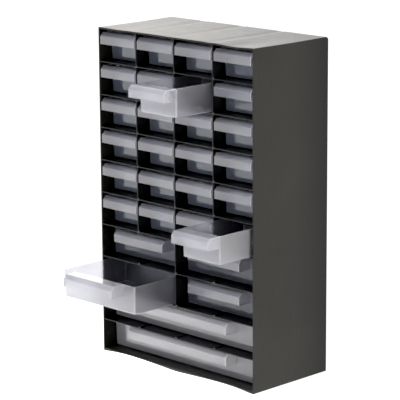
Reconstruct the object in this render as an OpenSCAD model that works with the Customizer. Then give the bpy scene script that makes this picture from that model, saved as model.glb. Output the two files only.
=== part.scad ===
// Small-parts cabinet: a dark moulded case, nine loose shelves, twenty loose
// dividers and thirty translucent pull-out drawers in three widths.
// X is the width, Y the depth (front at -Y), Z up. The origin is at the centre
// of the footprint, on the surface that the cabinet stands on.

/* [Case] */
// Outer width of the case
case_w = 306; // [300:1:330]
// Outer depth of the case
case_d = 150; // [146:1:170]
// Outer height of the case
case_h = 481; // [477:1:500]
// Thickness of the side walls and of the back
side_t = 2; // [1.6:0.1:2.4]
// Thickness of the top wall
top_t = 2.4; // [1.4:0.1:3]
// Thickness of the bottom wall, between its arches
bottom_t = 4; // [3.8:0.1:4.2]
// Rise of the two shallow arches under the bottom wall
arch_rise = 3.1; // [0.5:0.1:3.1]
// Height of the line that the rows are counted up from
row_base = 1.3; // [1:0.1:2]
// Radius of the rear top edge
rear_r = 6; // [3:0.5:8]
// Radius of the two screw holes in the back
screw_hole_r = 2.5; // [2:0.1:3]

/* [Shelves and dividers] */
// Thickness of a shelf or divider
plate_t = 1.2; // [1:0.1:1.4]
// Height of the guide ribs on shelves and walls
rib_h = 1.1; // [0.8:0.1:1.2]
// Width of one guide rib
rib_w = 0.7; // [0.6:0.1:0.9]
// Running gap at the loose edges of shelves and dividers
loose = 0.2; // [0.1:0.05:0.4]

/* [Drawers] */
// Gap at each side of a drawer's rim
side_gap = 1.4; // [1.2:0.1:1.8]
// Height of a drawer, from its runners to its rim
drawer_h = 41.6; // [38:0.2:42]
// Length of a drawer's box
box_len = 120; // [100:1:121]
// Wall thickness of a drawer
drawer_t = 1.4; // [1.2:0.1:1.6]
// Height of the runners under a drawer
runner_h = 1.4; // [1.3:0.1:1.6]
// Narrowing of a drawer's box at its foot, on each side
draft = 0.8; // [0.4:0.1:1]
// Recess of the drawer fronts behind the edge of the case
front_recess = 21.3; // [18:0.1:24]
// Reach of the hooded pull in front of the drawer front
hood_d = 22.3; // [18:0.1:22.5]
// Height of the hooded pull's lower edge over the runners
hood_z = 24.8; // [22:0.2:26]
// Depth and height of the slope along the top of the pull
hood_slope = 5.8; // [4:0.2:8]
// Width of the pull on a small drawer
small_pull_w = 70; // [60:1:71]
// Width of the pull on a medium drawer
medium_pull_w = 100.5; // [80:0.5:120]
// Width of the pull on a large drawer
large_pull_w = 199; // [150:1:230]

/* [How far the open drawers stand out] */
// Small drawer in row 2, column 3
open_r2c3 = 88; // [0:1:110]
// Small drawer in row 6, column 4
open_r6c4 = 83; // [0:1:110]
// Medium drawer in row 8, left
open_r8c1 = 98.5; // [0:0.5:110]

/* [Hidden] */

rows = 10;
cols = 4;
front = -case_d / 2;
back_in = case_d / 2 - side_t;
inner_w = case_w - 2 * side_t;
cell_w = (inner_w - (cols - 1) * plate_t) / cols;
col_pitch = cell_w + plate_t;
// the rows share the height over row_base, and the bottom wall's thickness over
// that line comes out of the lowest row
row_pitch = (case_h - top_t - row_base + plate_t) / rows;
groove = plate_t + 0.1;
wall_y = front + front_recess;
pull_y = wall_y - hood_d;
eps = 0.01;

// top of the shelf or wall that row r stands on, counted from the top row
function row_z(r) = r == rows ? bottom_t : row_base + (rows - r) * row_pitch;
// underside of the shelf or wall over row r
function roof_z(r) = r == 1 ? case_h - top_t : row_base + (rows + 1 - r) * row_pitch - plate_t;
// middle of column c
function col_x(c) = (c - (cols + 1) / 2) * col_pitch;
// middle of the divider after column c
function div_x(c) = (c - cols / 2) * col_pitch;
// points of an arc about (x, y)
function arc(x, y, r, a0, a1, n = 5) =
    [for (i = [0:n]) [x + r * cos(a0 + (a1 - a0) * i / n), y + r * sin(a0 + (a1 - a0) * i / n)]];
// rectangle with four round corners
function round_rect(x0, x1, y0, y1, r) = concat(
    arc(x0 + r, y0 + r, r, 180, 270), arc(x1 - r, y0 + r, r, 270, 360),
    arc(x1 - r, y1 - r, r, 0, 90), arc(x0 + r, y1 - r, r, 90, 180));
// upright section of a box: round at the foot, drafted sides, open-ended top
function tub_section(x0, x1, z0, z1, r, d) = concat(
    arc(x0 + d + r, z0 + r, r, 180, 270), arc(x1 - d - r, z0 + r, r, 270, 360),
    [[x1, z1], [x0, z1]]);
// height of the arch under the bottom wall, from a foot (0) to the side (1)
function arch_z(u) = arch_rise * pow(sin(180 * pow(u, 1.6)), 0.6) * (1 - pow(u, 8));

// sections drawn in X-Z and run along Y
module along_y(y0, y1) {
    translate([0, y1, 0]) rotate([90, 0, 0]) linear_extrude(height = y1 - y0) children();
}

// sections drawn in Y-Z and run along X
module along_x(x0, x1) {
    translate([x0, 0, 0]) rotate([90, 0, 90]) linear_extrude(height = x1 - x0) children();
}

// a pair of low ribs with a groove between them, standing on z, or hanging with up = -1
module rib_pair(x, z, up = 1) {
    for (s = [-1, 1])
        translate([x + s * (groove / 2 + rib_w / 2) - rib_w / 2, front + 0.8, up > 0 ? z - eps : z - rib_h])
            cube([rib_w, back_in - front - 1.2, rib_h + eps]);
}

// one side wall's pair of ribs that hold the edge of the shelf under row r
module shelf_track(side, r) {
    for (z = [row_z(r), row_z(r) - plate_t - rib_h])
        translate([side > 0 ? inner_w / 2 - 1 : -inner_w / 2 - eps, front + 1.5, z])
            cube([1 + eps, back_in - front - 1.5 + eps, rib_h]);
}

module case_section() {
    // side view of the case: square at the front, round along the rear top edge
    polygon(concat(
        [[front, 0], [case_d / 2 - 1, 0]],
        arc(case_d / 2 - 1, 1, 1, 270, 360, 3),
        arc(case_d / 2 - rear_r, case_h - rear_r, rear_r, 0, 90, 8),
        [[front, case_h]]));
}

module case_hollow() {
    ri = rear_r - side_t;
    polygon(concat(
        [[front - 1, bottom_t], [back_in, bottom_t]],
        arc(back_in - ri, case_h - top_t - ri, ri, 0, 90, 8),
        [[front - 1, case_h - top_t]]));
}

module arches() {
    // the bottom wall stands on its middle and on both sides
    foot = 6;
    span = case_w / 2 - 3 - foot;
    n = 24;
    for (s = [-1, 1])
        along_y(front - 1, case_d / 2 + 1)
            polygon(concat(
                [[s * (foot + span), -1], [s * foot, -1]],
                [for (i = [0:n]) [s * (foot + span * i / n), arch_z(i / n)]]));
}

module case_shell() {
    color("#262523")
    difference() {
        union() {
            difference() {
                along_x(-case_w / 2, case_w / 2) case_section();
                along_x(-inner_w / 2, inner_w / 2) case_hollow();
                arches();
            }
            for (r = [1:rows - 1], side = [-1, 1]) shelf_track(side, r);
            for (c = [1:cols - 1]) rib_pair(div_x(c), case_h - top_t, -1);
        }
        // screw holes for hanging the case on a wall, behind the outer columns of the top row
        for (c = [1, cols])
            translate([col_x(c), back_in - 1, row_z(1) + 24])
                rotate([-90, 0, 0]) cylinder(r = screw_hole_r, h = side_t + 2, $fn = 48);
    }
}

// shelf under row r
module shelf(r) {
    color("#32312f") {
        translate([-inner_w / 2 + loose, front, row_z(r) - plate_t])
            cube([inner_w - 2 * loose, back_in - front - loose, plate_t]);
        for (c = [1:cols - 1]) {
            rib_pair(div_x(c), row_z(r));
            rib_pair(div_x(c), row_z(r) - plate_t + eps, -1);
        }
    }
}

// divider of row r after column c, standing in the grooves below and above it
module divider(r, c) {
    color("#32312f")
    translate([div_x(c) - plate_t / 2, front, row_z(r)])
        cube([plate_t, back_in - front - loose, roof_z(r) - row_z(r) - loose]);
}

// box of a drawer, w wide at its rim, with its foot at z = 0
module drawer_box(w) {
    y0 = wall_y;
    y1 = wall_y + box_len;
    zf = runner_h;
    t = drawer_t;
    difference() {
        intersection() {
            translate([0, 0, zf]) linear_extrude(height = drawer_h - zf)
                polygon(round_rect(-w / 2, w / 2, y0, y1, 2.2));
            along_y(y0 - 1, y1 + 1) polygon(tub_section(-w / 2, w / 2, zf, drawer_h, 1.8, draft));
            along_x(-w / 2 - 1, w / 2 + 1) polygon(tub_section(y0, y1, zf, drawer_h, 1.8, draft));
        }
        intersection() {
            translate([0, 0, zf + t]) linear_extrude(height = drawer_h - zf)
                polygon(round_rect(-w / 2 + t, w / 2 - t, y0 + t, y1 - t, 0.9));
            along_y(y0, y1) polygon(tub_section(-w / 2 + t, w / 2 - t, zf + t, drawer_h + 1, 0.8, draft));
            along_x(-w / 2, w / 2) polygon(tub_section(y0 + t, y1 - t, zf + t, drawer_h + 1, 0.8, draft));
        }
    }
    // runners under the floor
    for (s = [-1, 1])
        translate([s * (w / 2 - 7) - 0.8, y0 + 5, 0])
            cube([1.6, box_len - 10, zf + 0.3]);
}

// side view of the hooded pull, drawn t inside its outer face
function pull_section(t, z_low, y_end) = concat(
    [[pull_y + t, z_low]],
    arc(pull_y + 2.4, drawer_h - hood_slope - 0.6, 2.4 - t, 180, 135, 3),
    arc(pull_y + hood_slope + 0.6, drawer_h - 2.4, 2.4 - t, 135, 90, 3),
    [[y_end, drawer_h - t], [y_end, z_low]]);

// hooded pull: open below, closed at both ends
module pull(w) {
    t = drawer_t;
    difference() {
        along_x(-w / 2, w / 2) polygon(pull_section(0, hood_z, wall_y + 0.7));
        along_x(-w / 2 + t, w / 2 - t) polygon(pull_section(t, hood_z - 1, wall_y + 0.3));
    }
}

// a whole drawer: w is its rim width, pull_w its pull's width, out how far it is open
module drawer(x, r, w, pull_w, out = 0) {
    color([0.84, 0.86, 0.9, 0.6])
    translate([x, -out, row_z(r)]) {
        drawer_box(w);
        pull(pull_w);
    }
}

module small_drawer(r, c, out = 0) {
    drawer(col_x(c), r, cell_w - 2 * side_gap, small_pull_w, out);
}

module medium_drawer(r, c, out = 0) {
    drawer((c - 1.5) * 2 * col_pitch, r, 2 * cell_w + plate_t - 2 * side_gap, medium_pull_w, out);
}

module large_drawer(r, out = 0) {
    drawer(0, r, inner_w - 2 * side_gap, large_pull_w, out);
}

case_shell();

shelf(1);  // shelf_1
shelf(2);  // shelf_2
shelf(3);  // shelf_3
shelf(4);  // shelf_4
shelf(5);  // shelf_5
shelf(6);  // shelf_6
shelf(7);  // shelf_7
shelf(8);  // shelf_8
shelf(9);  // shelf_9

divider(1, 1);  // divider_r1_a
divider(1, 2);  // divider_r1_b
divider(1, 3);  // divider_r1_c
divider(2, 1);  // divider_r2_a
divider(2, 2);  // divider_r2_b
divider(2, 3);  // divider_r2_c
divider(3, 1);  // divider_r3_a
divider(3, 2);  // divider_r3_b
divider(3, 3);  // divider_r3_c
divider(4, 1);  // divider_r4_a
divider(4, 2);  // divider_r4_b
divider(4, 3);  // divider_r4_c
divider(5, 1);  // divider_r5_a
divider(5, 2);  // divider_r5_b
divider(5, 3);  // divider_r5_c
divider(6, 1);  // divider_r6_a
divider(6, 2);  // divider_r6_b
divider(6, 3);  // divider_r6_c
divider(7, 2);  // divider_r7
divider(8, 2);  // divider_r8

small_drawer(1, 1);  // small_drawer_r1c1
small_drawer(1, 2);  // small_drawer_r1c2
small_drawer(1, 3);  // small_drawer_r1c3
small_drawer(1, 4);  // small_drawer_r1c4
small_drawer(2, 1);  // small_drawer_r2c1
small_drawer(2, 2);  // small_drawer_r2c2
small_drawer(2, 3, open_r2c3);  // small_drawer_r2c3
small_drawer(2, 4);  // small_drawer_r2c4
small_drawer(3, 1);  // small_drawer_r3c1
small_drawer(3, 2);  // small_drawer_r3c2
small_drawer(3, 3);  // small_drawer_r3c3
small_drawer(3, 4);  // small_drawer_r3c4
small_drawer(4, 1);  // small_drawer_r4c1
small_drawer(4, 2);  // small_drawer_r4c2
small_drawer(4, 3);  // small_drawer_r4c3
small_drawer(4, 4);  // small_drawer_r4c4
small_drawer(5, 1);  // small_drawer_r5c1
small_drawer(5, 2);  // small_drawer_r5c2
small_drawer(5, 3);  // small_drawer_r5c3
small_drawer(5, 4);  // small_drawer_r5c4
small_drawer(6, 1);  // small_drawer_r6c1
small_drawer(6, 2);  // small_drawer_r6c2
small_drawer(6, 3);  // small_drawer_r6c3
small_drawer(6, 4, open_r6c4);  // small_drawer_r6c4

medium_drawer(7, 1);  // medium_drawer_r7c1
medium_drawer(7, 2);  // medium_drawer_r7c2
medium_drawer(8, 1, open_r8c1);  // medium_drawer_r8c1
medium_drawer(8, 2);  // medium_drawer_r8c2

large_drawer(9);  // large_drawer_r9
large_drawer(10);  // large_drawer_r10
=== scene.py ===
import math
import random

import bmesh
import bpy
from mathutils import Matrix, Vector


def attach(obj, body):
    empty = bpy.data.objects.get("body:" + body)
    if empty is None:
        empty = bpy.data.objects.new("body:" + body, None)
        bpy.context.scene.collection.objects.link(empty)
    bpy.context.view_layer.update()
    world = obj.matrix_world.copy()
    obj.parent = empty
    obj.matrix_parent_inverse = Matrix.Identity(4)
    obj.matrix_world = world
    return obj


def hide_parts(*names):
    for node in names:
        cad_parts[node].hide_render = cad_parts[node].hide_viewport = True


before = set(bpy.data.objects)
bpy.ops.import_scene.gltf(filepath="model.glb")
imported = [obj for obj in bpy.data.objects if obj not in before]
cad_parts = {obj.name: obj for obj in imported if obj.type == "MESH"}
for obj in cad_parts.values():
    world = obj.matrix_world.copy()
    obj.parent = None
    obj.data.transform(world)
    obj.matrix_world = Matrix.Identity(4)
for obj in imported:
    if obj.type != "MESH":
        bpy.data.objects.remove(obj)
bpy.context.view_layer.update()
MM = 0.001
scene = bpy.context.scene

# ------------------------------------------------------------------ sizes, in mm, as in the CAD source
CASE_W, CASE_D, CASE_H = 306.0, 150.0, 481.0
SIDE_T, TOP_T, BOTTOM_T, ARCH_RISE, ROW_BASE, REAR_R, SCREW_R = 2.0, 2.4, 4.0, 3.1, 1.3, 6.0, 2.5
PLATE_T, RIB_H, RIB_W, LOOSE = 1.2, 1.1, 0.7, 0.2
SIDE_GAP, DRAWER_H, BOX_LEN, WALL_T, RUNNER_H, DRAFT = 1.4, 41.6, 120.0, 1.4, 1.4, 0.8
RECESS, HOOD_D, HOOD_Z, SLOPE = 21.3, 22.3, 24.8, 5.8
ROWS, COLS = 10, 4
FRONT = -CASE_D / 2
BACK_IN = CASE_D / 2 - SIDE_T
INNER_W = CASE_W - 2 * SIDE_T
CELL_W = (INNER_W - (COLS - 1) * PLATE_T) / COLS
PITCH_X = CELL_W + PLATE_T
PITCH_Z = (CASE_H - TOP_T - ROW_BASE + PLATE_T) / ROWS
GROOVE = PLATE_T + 0.1
WALL_Y = FRONT + RECESS
PULL_Y = WALL_Y - HOOD_D


def row_z(r):
    return BOTTOM_T if r == ROWS else ROW_BASE + (ROWS - r) * PITCH_Z


def roof_z(r):
    return CASE_H - TOP_T if r == 1 else ROW_BASE + (ROWS + 1 - r) * PITCH_Z - PLATE_T


def col_x(c):
    return (c - (COLS + 1) / 2) * PITCH_X


def div_x(c):
    return (c - COLS / 2) * PITCH_X


# ------------------------------------------------------------------ camera
def make_camera():
    az, el, roll = (math.radians(a) for a in (45.0954, 12.7815, -0.3814))
    back = Vector((math.sin(az) * math.cos(el), -math.cos(az) * math.cos(el), math.sin(el)))
    right0 = Vector((math.cos(az), math.sin(az), 0))
    up0 = back.cross(right0)
    right = math.cos(roll) * right0 + math.sin(roll) * up0
    up = -math.sin(roll) * right0 + math.cos(roll) * up0
    data = bpy.data.cameras.new("camera")
    data.sensor_fit = "HORIZONTAL"
    data.sensor_width = 36.0
    data.lens = 188.80
    data.clip_start, data.clip_end = 0.05, 60.0
    cam = bpy.data.objects.new("camera", data)
    scene.collection.objects.link(cam)
    m = Matrix((right, up, back)).transposed().to_4x4()
    m.translation = Vector((2.057099, -2.074839, 0.901539))
    cam.matrix_world = m
    scene.camera = cam


make_camera()


# ------------------------------------------------------------------ node helpers
def new_material(name):
    mat = bpy.data.materials.new(name)
    mat.use_nodes = True
    nt = mat.node_tree
    nt.nodes.clear()
    out = nt.nodes.new("ShaderNodeOutputMaterial")
    bsdf = nt.nodes.new("ShaderNodeBsdfPrincipled")
    nt.links.new(bsdf.outputs[0], out.inputs[0])
    return mat, nt, bsdf


def node(nt, kind, **props):
    n = nt.nodes.new(kind)
    for k, v in props.items():
        setattr(n, k, v)
    return n


def coords(nt, scale=(1, 1, 1)):
    tc = node(nt, "ShaderNodeTexCoord")
    mp = node(nt, "ShaderNodeMapping")
    mp.inputs["Scale"].default_value = scale
    nt.links.new(tc.outputs["Object"], mp.inputs["Vector"])
    return mp.outputs[0]


def noise_tex(nt, vec, scale, detail=3.0, rough=0.5, distort=0.0):
    n = node(nt, "ShaderNodeTexNoise")
    n.inputs["Scale"].default_value = scale
    n.inputs["Detail"].default_value = detail
    n.inputs["Roughness"].default_value = rough
    n.inputs["Distortion"].default_value = distort
    nt.links.new(vec, n.inputs["Vector"])
    return n.outputs["Fac"]


def ramp(nt, fac, stops):
    r = node(nt, "ShaderNodeValToRGB")
    while len(r.color_ramp.elements) < len(stops):
        r.color_ramp.elements.new(0.5)
    for e, (p, c) in zip(r.color_ramp.elements, stops):
        e.position = p
        e.color = (*c, 1) if len(c) == 3 else c
    nt.links.new(fac, r.inputs[0])
    return r.outputs[0]


def remap(nt, fac, lo, hi, a=0.0, b=1.0):
    m = node(nt, "ShaderNodeMapRange")
    m.inputs["From Min"].default_value = a
    m.inputs["From Max"].default_value = b
    m.inputs["To Min"].default_value = lo
    m.inputs["To Max"].default_value = hi
    nt.links.new(fac, m.inputs["Value"])
    return m.outputs[0]


def maths(nt, op, a, b):
    m = node(nt, "ShaderNodeMath", operation=op)
    for i, v in enumerate((a, b)):
        if hasattr(v, "is_output"):
            nt.links.new(v, m.inputs[i])
        else:
            m.inputs[i].default_value = v
    return m.outputs[0]


def mix_colour(nt, fac, a, b, blend="MIX"):
    m = node(nt, "ShaderNodeMix", data_type="RGBA", blend_type=blend)
    for i, v in ((0, fac), (6, a), (7, b)):
        if hasattr(v, "is_output"):
            nt.links.new(v, m.inputs[i])
        else:
            m.inputs[i].default_value = v if i == 0 else (*v, 1)
    return m.outputs[2]


def bump(nt, height, strength, distance, normal=None):
    b = node(nt, "ShaderNodeBump")
    b.inputs["Strength"].default_value = strength
    b.inputs["Distance"].default_value = distance
    nt.links.new(height, b.inputs["Height"])
    if normal is not None:
        nt.links.new(normal, b.inputs["Normal"])
    return b.outputs[0]


# ------------------------------------------------------------------ materials
def case_material(name, base, rough_lo, rough_hi, spec=0.5, streaks=0.35, rear=1.0):
    """Satin moulded styrene: fine spark-eroded grain, slow colour drift, faint handling scuffs; with rear below 1,
    painted shade darkens the base colour towards the back.
    """
    mat, nt, b = new_material(name)
    plain = coords(nt)
    drift = noise_tex(nt, plain, 9.0, 3.0, 0.55, 0.3)
    grain = noise_tex(nt, plain, 1900.0, 2.0, 0.6)
    cloth = noise_tex(nt, coords(nt, (1, 1, 0.16)), 62.0, 4.0, 0.6, 0.4)
    dust = noise_tex(nt, plain, 420.0, 4.0, 0.7)
    dark = tuple(c * 0.86 for c in base)
    light = tuple(c * 1.16 for c in base)
    colour = ramp(nt, drift, [(0.3, dark), (0.7, light)])
    specks = remap(nt, dust, 0.0, 1.0, 0.63, 0.74)
    colour = mix_colour(nt, maths(nt, "MULTIPLY", specks, 0.10), colour, (0.14, 0.135, 0.125))
    # painted shade: the base colour darkens towards the back of the case, standing in for the fall of light there
    if rear < 1:
        place = node(nt, "ShaderNodeSeparateXYZ")
        nt.links.new(plain, place.inputs[0])
        shade = ramp(nt, remap(nt, place.outputs["Y"], 0.0, 1.0, -0.075, 0.075),
                     [(0.0, (1, 1, 1)), (0.55, (0.93,) * 3), (0.80, (0.5 + 0.5 * rear,) * 3), (1.0, (rear,) * 3)])
        colour = mix_colour(nt, 1.0, colour, shade, "MULTIPLY")
    nt.links.new(colour, b.inputs["Base Color"])
    r = maths(nt, "ADD", remap(nt, cloth, rough_lo, rough_hi, 0.3, 0.7), remap(nt, grain, -0.02, 0.02, 0.35, 0.65))
    nt.links.new(r, b.inputs["Roughness"])
    b.inputs["IOR"].default_value = 1.5
    b.inputs["Specular IOR Level"].default_value = spec
    n1 = bump(nt, grain, 0.22, 0.00006)
    n2 = bump(nt, noise_tex(nt, plain, 22.0, 2.0, 0.45), streaks, 0.0004, n1)
    nt.links.new(n2, b.inputs["Normal"])
    return mat


def drawer_material(name, tint, seed, rough, trans, coat=None):
    """Translucent moulded polystyrene with slow flow marks: frosted, or polished with a coat of this IOR.
    trans is one value, or a list of (y in mm, value) from the front to the back."""
    mat, nt, b = new_material(name)
    mp = coords(nt)
    off = node(nt, "ShaderNodeVectorMath", operation="ADD")
    off.inputs[1].default_value = (seed * 1.37, seed * 0.73, seed * 2.11)
    nt.links.new(mp, off.inputs[0])
    vec = off.outputs[0]
    cloud = noise_tex(nt, vec, 26.0, 3.0, 0.55, 0.6)
    fine = noise_tex(nt, vec, 1500.0, 2.0, 0.6)
    flow = noise_tex(nt, coords(nt, (1, 0.22, 1)), 70.0, 3.0, 0.5, 0.8)
    a = tuple(c * 0.97 for c in tint)
    c = tuple(min(1.0, c * 1.03) for c in tint)
    nt.links.new(ramp(nt, cloud, [(0.3, a), (0.7, c)]), b.inputs["Base Color"])
    r = maths(nt, "ADD", remap(nt, flow, rough - 0.04, rough + 0.04, 0.3, 0.7), remap(nt, fine, -0.03, 0.03, 0.35, 0.65))
    nt.links.new(r, b.inputs["Roughness"])
    b.inputs["IOR"].default_value = DR_IOR
    if isinstance(trans, list):
        place = node(nt, "ShaderNodeSeparateXYZ")
        nt.links.new(mp, place.inputs[0])
        along = remap(nt, place.outputs["Y"], 0.0, 1.0, -0.08, 0.07)
        nt.links.new(ramp(nt, along, [((y + 80) / 150, (v,) * 3) for y, v in trans]), b.inputs["Transmission Weight"])
    else:
        b.inputs["Transmission Weight"].default_value = trans
    if coat:
        b.inputs["Coat Weight"].default_value = 1.0
        b.inputs["Coat Roughness"].default_value = 0.02
        b.inputs["Coat IOR"].default_value = coat
    n1 = bump(nt, fine, 0.04 if coat else 0.12, 0.00004)
    n2 = bump(nt, flow, 0.10, 0.0002, n1)
    nt.links.new(n2, b.inputs["Normal"])
    return mat


# rounded outer edges of the drawers get less transmission, which paints a highlight along them
IN_ROUGH, IN_TRANS, OUT_ROUGH, OUT_TRANS, EDGE_HIGHLIGHT_TRANS, DR_IOR, DR_COAT = 0.48, 0.985, 0.40, 0.94, 0.74, 1.31, 1.80
# rear=0.15 paints shade that darkens the outer case towards its back
M_CASE = case_material("case_plastic", (0.0208, 0.0190, 0.0151), 0.275, 0.305, 0.30, 0.03, rear=0.15)
# inside the cells the case plastic has a darker base colour than outside: painted shade
M_CASE_IN_SHADED = case_material("case_plastic_inside_painted_shade", (0.0130, 0.0122, 0.0108), 0.42, 0.56, 0.14, 0.1)
M_PLATE = case_material("plate_plastic", (0.0052, 0.0050, 0.0049), 0.40, 0.50, 0.30, streaks=0.2)
# near-white front ends of the guide ribs: a painted glint
M_RIB_END_GLINT = case_material("rib_front_end_painted_glint", (0.62, 0.61, 0.58), 0.30, 0.40, 0.5, streaks=0.1)
# the plates' front edges have a base colour four times lighter than their faces: painted highlight
M_EDGE_HIGHLIGHT = case_material("plate_front_edge_painted_highlight", (0.022, 0.021, 0.019), 0.30, 0.40, 0.5, streaks=0.1)
TINTS = [(0.950, 0.916, 0.955), (0.955, 0.919, 0.955), (0.946, 0.913, 0.955)]
TINTS_IN = [(0.865, 0.89, 0.975), (0.87, 0.895, 0.975), (0.855, 0.882, 0.975)]
M_FROSTED = [drawer_material(f"drawer_frosted_{i}", t, i, IN_ROUGH, IN_TRANS) for i, t in enumerate(TINTS_IN)]
M_POLISHED = [drawer_material(f"drawer_polished_{i}", t, i + 7, OUT_ROUGH, OUT_TRANS, DR_COAT) for i, t in enumerate(TINTS)]
M_ROUNDED_HIGHLIGHT = [drawer_material(f"drawer_rounded_{i}", t, i + 13, OUT_ROUGH, EDGE_HIGHLIGHT_TRANS, DR_COAT) for i, t in enumerate(TINTS)]
# front walls of closed drawers by size: a thin one before a dark cell looks bluer, a long one hazier; the darker,
# bluer tints of the small and medium ones are painted shade of the recess
FRONT_SHADE_LOOK = {"small": ((0.685, 0.80, 1.0), 0.915, DR_COAT), "medium": ((0.70, 0.745, 0.90), 0.963, 1.5),
              "large": ((0.938, 0.918, 0.965), 0.86, DR_COAT)}
M_FRONT_SHADED = {k: drawer_material(f"drawer_front_painted_shade_{k}", t, i + 19, OUT_ROUGH, f, n) for i, (k, (t, f, n)) in enumerate(FRONT_SHADE_LOOK.items())}
# the drawers that stand open: hazier in front than along their sides; this ramp of transmission paints their fronts
# lighter and their sides darker towards the cabinet, and the medium one's darker tint is painted shade
OPEN_LIGHT_SHADE_LOOK = {"small": ((0.953, 0.932, 0.955), [(-80, 0.89), (-52.5, 0.89), (-50, 0.86), (-20, 0.915), (5, 0.975), (30, 0.985)]),
             "medium": ((0.765, 0.742, 0.745), [(-80, 0.90), (-52.5, 0.90), (-50, 0.92), (-15, 0.96), (10, 0.98)])}
M_OPEN = {k: drawer_material(f"drawer_open_painted_light_shade_{k}", t, i + 23, OUT_ROUGH, f, DR_COAT) for i, (k, (t, f)) in enumerate(OPEN_LIGHT_SHADE_LOOK.items())}
M_LONG = drawer_material("drawer_polished_large", (0.965, 0.915, 0.895), 41, OUT_ROUGH, OUT_TRANS, DR_COAT)
# the end caps of the medium pulls are tinted darker than the rest of the drawer: painted shade
M_CAP_SHADED = drawer_material("drawer_pull_cap_painted_shade", (0.76, 0.73, 0.775), 37, OUT_ROUGH, 0.985, DR_COAT)
# the large drawers' rounded edges get lower transmission still: a stronger painted highlight
M_LONG_EDGE_HIGHLIGHT = drawer_material("drawer_rounded_large", (0.945, 0.945, 0.965), 31, OUT_ROUGH, 0.50, DR_COAT)
# the open medium drawer's rounded edges: a darker tint as painted shade, lower transmission as painted highlight
M_OPEN_EDGE_LIGHT_SHADE = drawer_material("drawer_rounded_open", (0.785, 0.762, 0.765), 29, OUT_ROUGH, 0.80, DR_COAT)


# ------------------------------------------------------------------ mesh helpers
def mesh_object(name, bm, mats, smooth_angle=35.0, weighted=True):
    bmesh.ops.recalc_face_normals(bm, faces=bm.faces)
    me = bpy.data.meshes.new(name)
    bm.to_mesh(me)
    bm.free()
    return finish_mesh(name, me, mats, smooth_angle, weighted)


def finish_mesh(name, me, mats, smooth_angle=35.0, weighted=True):
    index = [p.material_index for p in me.polygons]
    me.materials.clear()
    for m in mats:
        me.materials.append(m)
    me.polygons.foreach_set("material_index", [min(i, len(mats) - 1) for i in index])
    bm = bmesh.new()
    bm.from_mesh(me)
    lim = math.radians(smooth_angle)
    for e in bm.edges:
        e.smooth = len(e.link_faces) == 2 and e.calc_face_angle(0) < lim
    for f in bm.faces:
        f.smooth = True
    bm.to_mesh(me)
    bm.free()
    o = bpy.data.objects.new(name, me)
    scene.collection.objects.link(o)
    if weighted:
        w = o.modifiers.new("weighted", "WEIGHTED_NORMAL")
        w.keep_sharp = True
        w.weight = 60
    return o


def raw_object(name, bm):
    bmesh.ops.recalc_face_normals(bm, faces=bm.faces)
    me = bpy.data.meshes.new(name)
    bm.to_mesh(me)
    bm.free()
    o = bpy.data.objects.new(name, me)
    scene.collection.objects.link(o)
    return o


def boolean(target, tool, operation):
    """Exact boolean of two raw objects: changes target's mesh and removes the tool."""
    m = target.modifiers.new("b", "BOOLEAN")
    m.operation = operation
    m.solver = "EXACT"
    m.object = tool
    bpy.context.view_layer.update()
    dg = bpy.context.evaluated_depsgraph_get()
    me = bpy.data.meshes.new_from_object(target.evaluated_get(dg))
    target.modifiers.clear()
    old = target.data
    target.data = me
    bpy.data.meshes.remove(old)
    bpy.data.objects.remove(tool)


def drop(o):
    """Takes an object away and hands over its mesh."""
    me = o.data
    bpy.data.objects.remove(o)
    return me


def ring_bridge(bm, a, b):
    n = len(a)
    for i in range(n):
        bm.faces.new((a[i], a[(i + 1) % n], b[(i + 1) % n], b[i]))


def ring_cap(bm, ring, rings=2):
    """Closes a flat ring with smaller rings towards its middle, then a fan."""
    mid = sum((v.co for v in ring), Vector()) / len(ring)
    cur = ring
    for k in range(rings):
        f = 1 - (k + 1) / (rings + 1)
        nxt = [bm.verts.new(mid + (v.co - mid) * f) for v in ring]
        ring_bridge(bm, cur, nxt)
        cur = nxt
    c = bm.verts.new(mid)
    for i in range(len(cur)):
        bm.faces.new((cur[i], cur[(i + 1) % len(cur)], c))


def rounded_loop(x0, x1, y0, y1, r, seg, nx, ny):
    """Points of a rounded rectangle, with nx and ny spans along its straight sides."""
    pts = []

    def side(p, q, n):
        for i in range(n):
            t = i / n
            pts.append((p[0] + (q[0] - p[0]) * t, p[1] + (q[1] - p[1]) * t))

    def corner(cx, cy, a0):
        for i in range(seg):
            a = math.radians(a0 + 90 * i / seg)
            pts.append((cx + r * math.cos(a), cy + r * math.sin(a)))

    corner(x0 + r, y0 + r, 180)
    side((x0 + r, y0), (x1 - r, y0), nx)
    corner(x1 - r, y0 + r, 270)
    side((x1, y0 + r), (x1, y1 - r), ny)
    corner(x1 - r, y1 - r, 0)
    side((x1 - r, y1), (x0 + r, y1), nx)
    corner(x0 + r, y1 - r, 90)
    side((x0, y1 - r), (x0, y0 + r), ny)
    return pts


def soft_box(bm, lo, hi, r, seg=3):
    """A box with every edge rounded by r, built as stacked rounded loops."""
    (x0, y0, z0), (x1, y1, z1) = lo, hi
    r = min(r, (x1 - x0) / 2.02, (y1 - y0) / 2.02, (z1 - z0) / 2.02)
    levels = []
    for i in range(seg + 1):
        a = math.pi / 2 * i / seg
        levels.append((z0 + r - r * math.cos(a), r - r * math.sin(a)))
    levels += [(z0 + z1 - z, d) for z, d in reversed(levels)]
    rings = []
    for z, d in levels:
        rr = max(r - d, 0.02)
        rings.append([bm.verts.new(Vector((x, y, z)) * MM)
                      for x, y in rounded_loop(x0 + d, x1 - d, y0 + d, y1 - d, rr, seg, 1, 1)])
    for a, b in zip(rings, rings[1:]):
        ring_bridge(bm, a, b)
    ring_cap(bm, rings[0], 0)
    ring_cap(bm, rings[-1], 0)


# ------------------------------------------------------------------ drawers
def tub_inset(z, z0, r):
    """How far a drawer's wall stands inside its rim at height z."""
    if z < z0 + r:
        return DRAFT + r - math.sqrt(max(r * r - (z0 + r - z) ** 2, 0))
    return DRAFT * (DRAWER_H - z) / (DRAWER_H - z0 - r)


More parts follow.
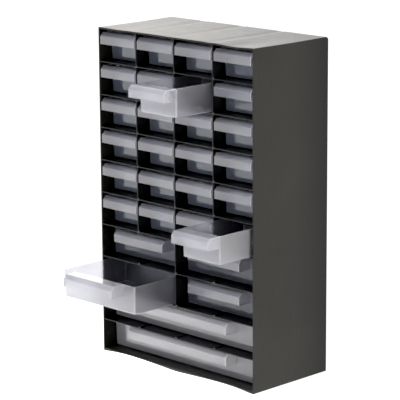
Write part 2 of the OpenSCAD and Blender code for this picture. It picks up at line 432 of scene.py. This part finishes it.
def build_drawer(w, pull_w, name):
    """One moulding: a tub with drafted, slightly bowed walls, runners and a hooded pull."""
    bow_x = min(0.35 + w / 900, 0.6)
    nx, ny = max(6, int(w / 9)), 12
    hw = w / 2
    y0, y1 = WALL_Y, WALL_Y + BOX_LEN

    def ring(bm, z, inset, r, inner=False):
        """inset is how far in from the rim's outline."""
        pts = rounded_loop(-hw + inset, hw - inset, y0 + inset, y1 - inset, max(r, 0.2), 6, nx, ny)
        up = max(0.0, min(1.0, (z - RUNNER_H - 4) / (DRAWER_H - RUNNER_H - 4)))
        out = []
        for x, y in pts:
            # long side walls of a thin tub pull in a little between the corners, most at the rim
            ty = max(0.0, 1 - ((y - (y0 + y1) / 2) / (BOX_LEN / 2 - 3)) ** 2)
            tx = max(0.0, 1 - (x / (hw - 3)) ** 2)
            side = abs(abs(x) - (hw - inset)) < 0.02
            rear = y > y1 - inset - 0.02
            if side:
                x -= math.copysign(bow_x * ty * up ** 1.4, x)
            if rear:
                y -= 0.5 * tx * up ** 1.4
            out.append(bm.verts.new(Vector((x, y, z)) * MM))
        return out

    bm = bmesh.new()
    rings = []
    fr = 1.8
    for i in range(6):
        a = math.pi / 2 * i / 5
        z = RUNNER_H + fr - fr * math.cos(a)
        rings.append(ring(bm, z, tub_inset(z, RUNNER_H, fr), 2.2 - 0.4 * (1 - math.sin(a))))
    for z in (8.0, 14.0, 20.0, 26.0, 32.0, 37.0, DRAWER_H - 0.45):
        rings.append(ring(bm, z, tub_inset(z, RUNNER_H, fr), 2.2))
    er = 0.45
    for i in range(1, 4):
        a = math.pi / 2 * i / 3
        rings.append(ring(bm, DRAWER_H - er + er * math.sin(a), er - er * math.cos(a), 2.2 - 0.1 * i))
    rings.append(ring(bm, DRAWER_H, WALL_T - er, 1.3))
    for i in range(1, 4):
        a = math.pi / 2 * i / 3
        rings.append(ring(bm, DRAWER_H - er + er * math.cos(a), WALL_T - er + er * math.sin(a), 1.1))
    floor_z = RUNNER_H + WALL_T
    ir = 0.9
    for z in (37.0, 32.0, 26.0, 20.0, 14.0, 8.0):
        rings.append(ring(bm, z, WALL_T + tub_inset(z, RUNNER_H, fr), 0.95, True))
    for i in range(0, 5):
        a = math.pi / 2 * i / 4
        z = floor_z + ir - ir * math.sin(a)
        rings.append(ring(bm, z, WALL_T + DRAFT + ir - ir * math.cos(a), 0.9, True))
    for a, b in zip(rings, rings[1:]):
        ring_bridge(bm, a, b)
    ring_cap(bm, rings[0], 3)
    ring_cap(bm, rings[-1], 3)
    tub = raw_object(name + "_tub", bm)

    # runners, rounded at both ends like sledge runners
    for s in (-1, 1):
        bm = bmesh.new()
        xc = s * (hw - 7)
        soft_box(bm, (xc - 0.8, y0 + 5, 0.02), (xc + 0.8, y0 + BOX_LEN - 5, RUNNER_H + 0.5), 0.5, 3)
        for v in bm.verts:
            t = (v.co.y / MM - (y0 + 5)) / (BOX_LEN - 10)
            lift = max(0.0, 1 - min(t, 1 - t) / 0.05) ** 2
            v.co.z += 0.9 * lift * MM * (1 - v.co.z / MM / (RUNNER_H + 0.5))
        boolean(tub, raw_object("r", bm), "UNION")
    # hooded pull: an outer body with rounded edges, less an inner one that is open below
    z1 = DRAWER_H

    def section(t, z_low, y_end):
        pts = [(PULL_Y + t, z_low)]
        for i in range(6):
            a = math.radians(180 - 45 * i / 5)
            pts.append((PULL_Y + 2.4 + (2.4 - t) * math.cos(a), z1 - SLOPE - 0.6 + (2.4 - t) * math.sin(a)))
        for i in range(6):
            a = math.radians(135 - 45 * i / 5)
            pts.append((PULL_Y + SLOPE + 0.6 + (2.4 - t) * math.cos(a), z1 - 2.4 + (2.4 - t) * math.sin(a)))
        pts += [(y_end, z1 - t), (y_end, z_low)]
        return pts

    def hood_body(t, half, z_low, y_end, r, seg):
        """Stacks the side section along X, drawn in at both ends by a radius r."""
        bm = bmesh.new()
        rings = []
        xs = []
        for i in range(seg + 1):
            a = math.pi / 2 * i / seg
            xs.append((half - r + r * math.sin(math.pi / 2 - a), r - r * math.cos(math.pi / 2 - a)))
        # xs runs from the end face inwards: (|x|, inset)
        stations = [(-x, d) for x, d in xs]
        inner = max(3, int(half / 6))
        for i in range(1, inner):
            stations.append((-(half - r) + 2 * (half - r) * i / inner, 0.0))
        stations += [(x, d) for x, d in reversed(xs)]
        for x, d in stations:
            ring = []
            for k, (y, z) in enumerate(section(t + d, z_low, y_end)):
                ring.append(bm.verts.new(Vector((x, y, z)) * MM))
            rings.append(ring)
        for a, b in zip(rings, rings[1:]):
            ring_bridge(bm, a, b)
        bm.faces.new(rings[0])
        bm.faces.new(list(reversed(rings[-1])))
        return raw_object("hood", bm)

    hood = hood_body(0.0, pull_w / 2, HOOD_Z, WALL_Y + 0.9, 1.1, 5)
    cavity = hood_body(WALL_T, pull_w / 2 - WALL_T, HOOD_Z - 3, WALL_Y + 0.12, 0.6, 3)
    boolean(hood, cavity, "DIFFERENCE")
    boolean(tub, hood, "UNION")
    me = drop(tub)
    me.name = name
    bm = bmesh.new()
    bm.from_mesh(me)
    bmesh.ops.remove_doubles(bm, verts=bm.verts, dist=2e-6)
    bmesh.ops.dissolve_degenerate(bm, dist=1e-6, edges=bm.edges)
    bmesh.ops.recalc_face_normals(bm, faces=bm.faces)
    # the outer faces are polished, the inner ones are frosted, and rounded outer edges take a copy with less
    # transmission, a painted highlight along them
    for f in bm.faces:
        c = f.calc_center_median() / MM
        skin = 0.7 + tub_inset(max(c.z, RUNNER_H + 0.05), RUNNER_H, fr)
        tub_in = abs(c.x) < hw - bow_x - skin and y0 + skin < c.y < y1 - 0.5 - skin and c.z > RUNNER_H + 0.7
        hood_in = (abs(c.x) < pull_w / 2 - 0.6 and PULL_Y + 0.6 < c.y < WALL_Y - 0.05 and HOOD_Z + 0.05 < c.z < DRAWER_H - 0.6
                   and c.z < DRAWER_H - SLOPE + (c.y - PULL_Y) - 0.9)
        n = sorted(abs(v) for v in f.normal)
        slope = abs(f.normal.x) < 0.05 and 0.64 < abs(f.normal.z) < 0.77 and f.calc_area() > 4e-6
        f.material_index = 0 if tub_in or hood_in else 2 if n[1] > 0.3 and not slope else 1
        # the rounded vertical edges at the back get no painted edge highlight
        if f.material_index == 2 and c.y > y1 - 4 and abs(f.normal.z) < 0.3:
            f.material_index = 1
        # the outer face of the front wall below the pull takes the front-wall copy, whose tint paints the shade of the
        # recess
        if f.material_index == 1 and f.normal.y < -0.9 and -0.3 < c.y - WALL_Y < 1.2:
            f.material_index = 3
        # the pull's end caps take the fourth outer material, for medium drawers the darker cap copy: painted shade
        if f.material_index == 1 and abs(f.normal.x) > 0.9 and c.y < WALL_Y - 0.1:
            f.material_index = 4
    bm.to_mesh(me)
    bm.free()
    return me


random.seed(11)
SMALL_W, MEDIUM_W, LARGE_W = CELL_W - 2 * SIDE_GAP, 2 * CELL_W + PLATE_T - 2 * SIDE_GAP, INNER_W - 2 * SIDE_GAP
shapes = {
    "small": build_drawer(SMALL_W, 70.0, "small_drawer_mesh"),
    "medium": build_drawer(MEDIUM_W, 100.5, "medium_drawer_mesh"),
    "large": build_drawer(LARGE_W, 199.0, "large_drawer_mesh"),
}
OPEN = {"small_drawer_r2c3": 88.0, "small_drawer_r6c4": 83.0, "medium_drawer_r8c1": 98.5}
drawers = [(f"small_drawer_r{r}c{c}", "small", r, col_x(c)) for r in range(1, 7) for c in range(1, 5)]
drawers += [(f"medium_drawer_r{r}c{c}", "medium", r, (c - 1.5) * 2 * PITCH_X) for r in (7, 8) for c in (1, 2)]
drawers += [(f"large_drawer_r{r}", "large", r, 0.0) for r in (9, 10)]
for name, kind, r, x in drawers:
    me = shapes[kind].copy()
    pick = random.randrange(3)
    if name in OPEN:
        outer = [M_OPEN[kind], M_ROUNDED_HIGHLIGHT[pick] if kind == "small" else M_OPEN_EDGE_LIGHT_SHADE, M_OPEN[kind], M_OPEN[kind]]
    else:
        polished = M_LONG if kind == "large" else M_POLISHED[pick]
        outer = [polished, M_LONG_EDGE_HIGHLIGHT if kind == "large" else M_ROUNDED_HIGHLIGHT[pick], M_FRONT_SHADED[kind],
                 M_CAP_SHADED if kind == "medium" else polished]
    o = finish_mesh("shown_" + name, me, [M_FROSTED[pick]] + outer, 32.0)
    o.location = Vector((x, -OPEN.get(name, 0.0), row_z(r))) * MM
    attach(o, name + "_body")
    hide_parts(name)
for me in shapes.values():
    bpy.data.meshes.remove(me)


# ------------------------------------------------------------------ shelves and dividers
def mark_front(o, y_limit):
    """Gives faces at the front edge the second material, the lighter copy that paints a highlight on them."""
    for p in o.data.polygons:
        if p.center.y < y_limit * MM and p.normal.y < -0.25:
            p.material_index = 1


def rib_pair(bm, x, z, up):
    """Two guide ribs with a groove between, round at the front and tapered at the top."""
    for s in (-1, 1):
        xc = x + s * (GROOVE / 2 + RIB_W / 2)
        base = [(-RIB_W / 2, 0), (-RIB_W / 2 + 0.06, RIB_H - 0.22), (-RIB_W / 2 + 0.16, RIB_H - 0.05),
                (0, RIB_H), (RIB_W / 2 - 0.16, RIB_H - 0.05), (RIB_W / 2 - 0.06, RIB_H - 0.22), (RIB_W / 2, 0)]
        rings = []
        y_a, y_b = FRONT + 0.8, BACK_IN - 0.4
        n = 8
        ys = [(y_a, 0.55), (y_a + 0.25, 0.85), (y_a + 0.7, 1.0)]
        ys += [(y_a + (y_b - y_a) * i / n, 1.0) for i in range(1, n)]
        ys += [(y_b - 0.5, 1.0), (y_b, 0.75)]
        for y, f in ys:
            ring = []
            for dx, dz in base:
                ring.append(bm.verts.new(Vector((xc + dx, y, z + up * dz * f)) * MM))
            for dx in (RIB_W / 2, -RIB_W / 2):
                ring.append(bm.verts.new(Vector((xc + dx, y, z - up * 0.15)) * MM))
            rings.append(ring)
        for a, b in zip(rings, rings[1:]):
            ring_bridge(bm, a, b)
        bm.faces.new(rings[0])
        bm.faces.new(list(reversed(rings[-1])))


def build_shelf(r):
    bm = bmesh.new()
    z = row_z(r)
    soft_box(bm, (-INNER_W / 2 + LOOSE, FRONT, z - PLATE_T), (INNER_W / 2 - LOOSE, BACK_IN - LOOSE, z), 0.3, 3)
    for c in range(1, COLS):
        rib_pair(bm, div_x(c), z, 1)
        rib_pair(bm, div_x(c), z - PLATE_T, -1)
    o = mesh_object(f"shown_shelf_{r}", bm, [M_PLATE, M_EDGE_HIGHLIGHT, M_RIB_END_GLINT], 40.0)
    mark_front(o, FRONT + 2.0)
    # the front ends of the guide ribs get the near-white material: a painted glint
    for p in o.data.polygons:
        if p.material_index == 1 and p.center.y > (FRONT + 0.7) * MM:
            p.material_index = 2
    return o


def build_divider(name, r, c):
    bm = bmesh.new()
    soft_box(bm, (div_x(c) - PLATE_T / 2, FRONT, row_z(r)),
             (div_x(c) + PLATE_T / 2, BACK_IN - LOOSE, roof_z(r) - LOOSE), 0.3, 3)
    o = mesh_object("shown_" + name, bm, [M_PLATE, M_EDGE_HIGHLIGHT], 40.0)
    mark_front(o, FRONT + 2.0)
    return o


plates = [(f"shelf_{r}", build_shelf(r)) for r in range(1, 10)]
for r in range(1, 7):
    for c, k in zip((1, 2, 3), "abc"):
        plates.append((f"divider_r{r}_{k}", build_divider(f"divider_r{r}_{k}", r, c)))
plates += [(f"divider_r{r}", build_divider(f"divider_r{r}", r, 2)) for r in (7, 8)]
for n, o in plates:
    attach(o, "cabinet")
    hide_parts(n)


# ------------------------------------------------------------------ case
def arch_z(u):
    return ARCH_RISE * max(math.sin(math.pi * u ** 1.6), 0) ** 0.6 * (1 - u ** 8)


def dip(x, mid, half):
    """Smooth hollow, 1 at mid and 0 from half away on."""
    return (math.cos(math.pi * min(1.0, abs(x - mid) / half)) + 1) / 2


def ease(t):
    t = max(0.0, min(1.0, t))
    return t * t * (3 - 2 * t)


def sink(s):
    """A sink mark over a pair of guide ribs: a long fall, then a short rise."""
    return ease((s + 24) / 19) if s < -5 else 1 - ease((s + 5) / 6)


def top_sag(x, y):
    """The thin top is not flat: it hangs between its supports, most at the open front of the outer
    columns, and has a faint sink mark along each pair of guide ribs that runs under it."""
    t = max(0.0, min(1.0, (CASE_D / 2 - 8 - y) / (CASE_D - 8)))
    front = 0.5 * dip(x, -116, 32) + 1.35 * dip(x, 115, 38) + 0.12 * dip(x, 0, 40)
    middle = (0.55 * (abs(x) / 153) ** 2 + 0.25 * (1 - (x / 153) ** 2)) * math.sin(math.pi * t)
    back = 0.45 * dip(x, -30, 60) + 0.35 * dip(x, 60, 50)
    marks = sum(d * sink(x - div_x(c)) for c, d in ((1, 0.10 + 0.35 * (1 - t)), (2, 0.12 + 0.36 * (1 - t)), (3, 0.45)))
    return 0.15 + front * t ** 1.6 + middle + (0.02 + back * t) * (1 - t) + marks


def build_case():
    ow, ih = CASE_W / 2, INNER_W / 2
    nx, nz = 190, 48

    def loop(bm, y, x0, x1, z0, z1, r, outer):
        verts = []
        for x, z in rounded_loop(x0, x1, z0, z1, r, 3, nx, nz):
            if outer and z < z0 + 0.01:
                u = (abs(x) - 6) / (ow - 3 - 6)
                if 0 < u < 1:
                    z += arch_z(u)
            if z > z1 - 20:
                z -= top_sag(x, y) * min(1.0, (z - z1 + 20) / 19)
            verts.append(bm.verts.new(Vector((x, y, z)) * MM))
        return verts

    bm = bmesh.new()
    rings = []
    # outside, from the mouth to the back
    mr = 0.3
    ys = []
    for i in range(4):
        a = math.pi / 2 * i / 3
        ys.append((FRONT + mr - mr * math.sin(a), mr - mr * math.cos(a)))
    ys = list(reversed(ys))
    # ys: (y, inset) from the mouth plane outwards
    outer = [(y, d) for y, d in ys]
    n = 14
    outer += [(FRONT + mr + (CASE_D / 2 - 4.8 - FRONT - mr) * i / n, 0.0) for i in range(1, n + 1)]
    rear = []
    rr = 4.8
    for i in range(1, 9):
        a = math.pi / 2 * i / 8
        rear.append((CASE_D / 2 - rr + rr * math.sin(a), a))
    for y, d in outer:
        rings.append(loop(bm, y, -ow + d, ow - d, d, CASE_H - d, 0.8, True))
    for y, a in rear:
        inset = 0.8 * max(0.0, 1.0 - math.sqrt(max(0.0, 1 - max(0.0, (y - (CASE_D / 2 - 1))) ** 2)))
        top = CASE_H - rr + rr * math.cos(a)
        rings.append(loop(bm, y, -ow + inset, ow - inset, inset, min(top, CASE_H - inset), 0.8, True))
    ring_cap(bm, rings[-1], 0)
    # inside, from the mouth to the inner back face
    inner = [(y, -d) for y, d in ys]
    inner += [(FRONT + mr + (BACK_IN - 4 - FRONT - mr) * i / n, 0.0) for i in range(1, n + 1)]
    rings_in = []
    for y, d in inner:
        rings_in.append(loop(bm, y, -ih + d, ih - d, BOTTOM_T + d, CASE_H - TOP_T - d, 0.4, False))
    ri = REAR_R - SIDE_T
    for i in range(1, 6):
        a = math.pi / 2 * i / 5
        y = BACK_IN - ri + ri * math.sin(a)
        rings_in.append(loop(bm, y, -ih, ih, BOTTOM_T, CASE_H - TOP_T - ri + ri * math.cos(a), 0.4, False))
    ring_cap(bm, rings_in[-1], 0)
    for a, b in zip(rings, rings[1:]):
        ring_bridge(bm, a, b)
    for a, b in zip(rings_in, rings_in[1:]):
        ring_bridge(bm, a, b)
    ring_bridge(bm, rings[0], rings_in[0])
    shell = raw_object("case", bm)
    # holes for two wall screws
    for c in (1, COLS):
        bm = bmesh.new()
        bmesh.ops.create_cone(bm, cap_ends=True, segments=48, radius1=SCREW_R * MM, radius2=SCREW_R * MM, depth=8 * MM,
                              matrix=Matrix.Translation(Vector((col_x(c), CASE_D / 2 - 1, row_z(1) + 24)) * MM)
                              @ Matrix.Rotation(math.pi / 2, 4, "X"))
        boolean(shell, raw_object("hole", bm), "DIFFERENCE")
    me = drop(shell)
    bm = bmesh.new()
    bm.from_mesh(me)
    for v in bm.verts:
        v.co.y = min(v.co.y, CASE_D / 2 * MM)
    # guide tracks for the shelves, on both side walls
    for r in range(1, ROWS):
        for s in (-1, 1):
            for z in (row_z(r), row_z(r) - PLATE_T - RIB_H):
                xa, xb = (INNER_W / 2 - 1, INNER_W / 2 + 0.3) if s > 0 else (-INNER_W / 2 - 0.3, -INNER_W / 2 + 1)
                soft_box(bm, (xa, FRONT + 1.5, z), (xb, BACK_IN + 0.3, z + RIB_H), 0.22, 2)
    for c in range(1, COLS):
        rib_pair(bm, div_x(c), CASE_H - TOP_T, -1)
    bmesh.ops.recalc_face_normals(bm, faces=bm.faces)
    bm.to_mesh(me)
    bm.free()
    o = finish_mesh("shown_case_shell", me, [M_CASE, M_CASE_IN_SHADED], 38.0)
    # faces inside the cells take the darker copy of the case plastic: painted shade in the recesses
    for p in o.data.polygons:
        c = p.center / MM
        if abs(c.x) < INNER_W / 2 + 0.02 and FRONT + 0.35 < c.y < BACK_IN + 0.02 and BOTTOM_T + 0.1 < c.z < CASE_H - TOP_T + 0.02:
            p.material_index = 1
    return o


case = build_case()
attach(case, "cabinet")
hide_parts("case_shell")


# ------------------------------------------------------------------ floor and light
def floor():
    """Pale lit paper, a little brighter to the left front, where the drawer fronts mirror it."""
    bm = bmesh.new()
    bmesh.ops.create_grid(bm, x_segments=24, y_segments=24, size=9.0)
    me = bpy.data.meshes.new("floor")
    bm.to_mesh(me)
    bm.free()
    mat, nt, b = new_material("floor_paper")
    c = noise_tex(nt, coords(nt), 3.0, 2.0)
    nt.links.new(ramp(nt, c, [(0.3, (0.118, 0.118, 0.118)), (0.7, (0.122, 0.122, 0.122))]), b.inputs["Base Color"])
    b.inputs["Roughness"].default_value = 0.9
    b.inputs["Specular IOR Level"].default_value = 0.0
    dot = node(nt, "ShaderNodeVectorMath", operation="DOT_PRODUCT")
    tc = node(nt, "ShaderNodeTexCoord")
    nt.links.new(tc.outputs["Object"], dot.inputs[0])
    dot.inputs[1].default_value = (-0.7071, -0.7071, 0)
    level = 0.0
    for steps in ((-0.16, 0.10, FLOOR, FLOOR_NEAR), (0.25, 0.95, 0.0, FLOOR_LEFT - FLOOR_NEAR)):
        m = node(nt, "ShaderNodeMapRange", interpolation_type="SMOOTHSTEP")
        for k, v in zip(("From Min", "From Max", "To Min", "To Max"), steps):
            m.inputs[k].default_value = v
        nt.links.new(dot.outputs["Value"], m.inputs["Value"])
        level = maths(nt, "ADD", m.outputs[0], level)
    # it falls to the plain level at the back left, where the camera sees it past the open drawer, and partly at the right
    side = node(nt, "ShaderNodeVectorMath", operation="DOT_PRODUCT")
    nt.links.new(tc.outputs["Object"], side.inputs[0])
    side.inputs[1].default_value = (-0.7071, 0.7071, 0)
    more = maths(nt, "SUBTRACT", level, FLOOR)
    for steps in ((0.22, 0.42, 1.0, 0.11), (-0.15, 0.03, 0.45, 1.0)):
        m = node(nt, "ShaderNodeMapRange", interpolation_type="SMOOTHSTEP")
        for k, v in zip(("From Min", "From Max", "To Min", "To Max"), steps):
            m.inputs[k].default_value = v
        nt.links.new(side.outputs["Value"], m.inputs["Value"])
        more = maths(nt, "MULTIPLY", more, m.outputs[0])
    level = maths(nt, "ADD", more, FLOOR)
    b.inputs["Emission Color"].default_value = (1, 1, 1, 1)
    nt.links.new(level, b.inputs["Emission Strength"])
    mat.cycles.emission_sampling = "NONE"
    me.materials.append(mat)
    o = bpy.data.objects.new("floor", me)
    scene.collection.objects.link(o)


FLOOR, FLOOR_NEAR, FLOOR_LEFT = 0.93, 1.85, 1.30
floor()

world = bpy.data.worlds.new("studio")
scene.world = world
world.use_nodes = True
wt = world.node_tree
base = wt.nodes["Background"]
base.inputs[0].default_value = (0.80, 0.89, 1.10, 1)
base.inputs[1].default_value = 0.40
gen = wt.nodes.new("ShaderNodeTexCoord").outputs["Generated"]


def glow(light, direction, inner, outer, strength, colour):
    """Adds a soft round glow of a studio wall: full within inner degrees of a direction, none past outer."""
    dp = wt.nodes.new("ShaderNodeVectorMath")
    dp.operation = "DOT_PRODUCT"
    wt.links.new(gen, dp.inputs[0])
    dp.inputs[1].default_value = Vector(direction).normalized()
    m = wt.nodes.new("ShaderNodeMapRange")
    m.interpolation_type = "SMOOTHSTEP"
    m.inputs["From Min"].default_value = math.cos(math.radians(outer))
    m.inputs["From Max"].default_value = math.cos(math.radians(inner))
    m.inputs["To Max"].default_value = strength
    wt.links.new(dp.outputs["Value"], m.inputs["Value"])
    b = wt.nodes.new("ShaderNodeBackground")
    b.inputs[0].default_value = (*colour, 1)
    wt.links.new(m.outputs[0], b.inputs[1])
    add = wt.nodes.new("ShaderNodeAddShader")
    wt.links.new(light, add.inputs[0])
    wt.links.new(b.outputs[0], add.inputs[1])
    return add.outputs[0]


light = base.outputs[0]
light = glow(light, (-0.95, 0.30, 0.10), 5, 42, 2.74, (1.0, 0.955, 0.87))
light = glow(light, (0.75, -0.60, 0.45), 10, 80, 1.4, (1.0, 0.97, 0.93))
light = glow(light, (0.25, 0.35, 0.90), 12, 50, 2.5, (1.0, 0.985, 0.96))
wt.links.new(light, wt.nodes["World Output"].inputs[0])

scene.view_settings.view_transform = "Standard"
scene.view_settings.look = "None"
scene.view_settings.exposure = 0.0
scene.view_settings.gamma = 1.0
scene.view_settings.use_curve_mapping = True
scene.view_settings.curve_mapping.black_level = (0.005, 0.005, 0.005)
